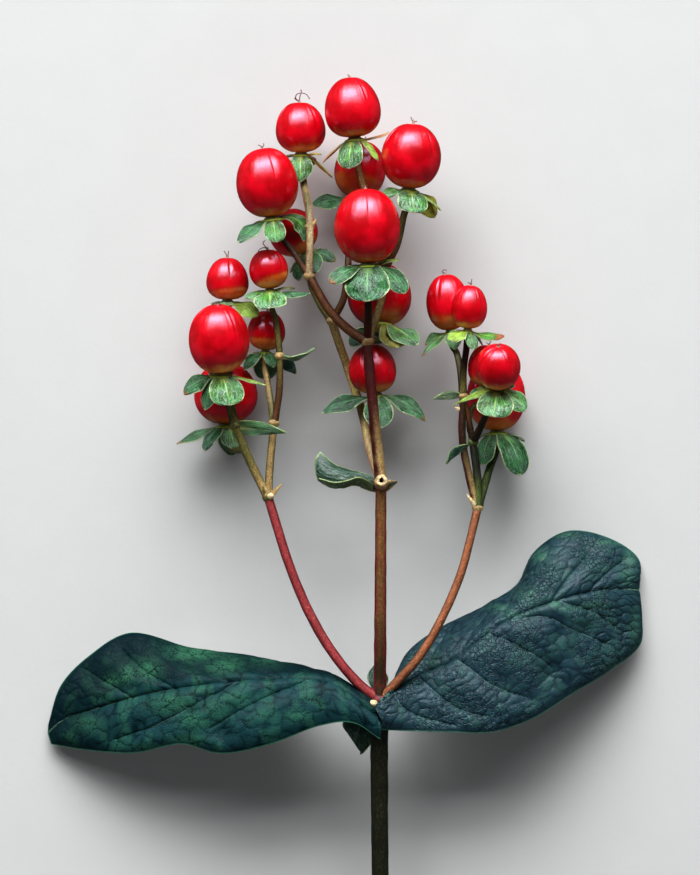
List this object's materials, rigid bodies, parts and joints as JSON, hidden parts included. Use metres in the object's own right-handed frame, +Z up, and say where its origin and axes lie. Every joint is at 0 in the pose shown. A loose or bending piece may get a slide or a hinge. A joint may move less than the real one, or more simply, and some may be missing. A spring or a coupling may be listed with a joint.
{
  "type": "hypericum berry stem",
  "caption": "Cut stem of hypericum lying on its back: red berries in green calyces on forked pedicels, above a pair of large dark leaves and a bare lower stem.",
  "frame": {"origin": "on the surface that the stem lies on, under the middle of its box", "axes": "+Y along the stem from its cut end to the topmost berry, +Z up from the surface, +X to the right of someone who looks down on it with the berries away from them"},
  "size_m": [0.1206, 0.2108, 0.0285],
  "materials": {
    "berry": "waxy gloss, deep red with a paler tan base",
    "calyx": "satin green with pale veins and a thin cream margin",
    "big_leaf": "quilted, dark blue-green with paler green mottling and a soft sheen",
    "small_leaf": "satin green with a pale margin",
    "stem": "smooth bark, red-brown to olive, speckled"
  },
  "bodies": {
    "root": {"stem": "stem", "leaf_left": "big_leaf", "leaf_right": "big_leaf", "leaf_middle": "small_leaf", "leaf_under": "small_leaf", "leaf_axil": "small_leaf", "leaf_crescent": "small_leaf", "leaf_behind": "small_leaf", "leaf_fork": "small_leaf", "leaf_high": "small_leaf", "leaf_low": "small_leaf", "berry_01": "berry", "berry_02": "berry", "berry_03": "berry", "berry_04": "berry", "berry_05": "berry", "berry_06": "berry", "berry_07": "berry", "berry_08": "berry", "berry_09": "berry", "berry_10": "berry", "berry_11": "berry", "berry_12": "berry", "berry_13": "berry", "berry_14": "berry", "berry_15": "berry", "berry_16": "berry", "berry_17": "berry", "berry_18": "berry", "berry_19": "berry", "calyx_01": "calyx", "calyx_02": "calyx", "calyx_03": "calyx", "calyx_04": "calyx", "calyx_05": "calyx", "calyx_06": "calyx", "calyx_07": "calyx", "calyx_08": "calyx", "calyx_09": "calyx", "calyx_10": "calyx", "calyx_11": "calyx", "calyx_12": "calyx", "calyx_13": "calyx", "calyx_14": "calyx", "calyx_15": "calyx", "calyx_16": "calyx", "calyx_17": "calyx", "calyx_18": "calyx", "calyx_19": "calyx"}
  },
  "joints": []
}
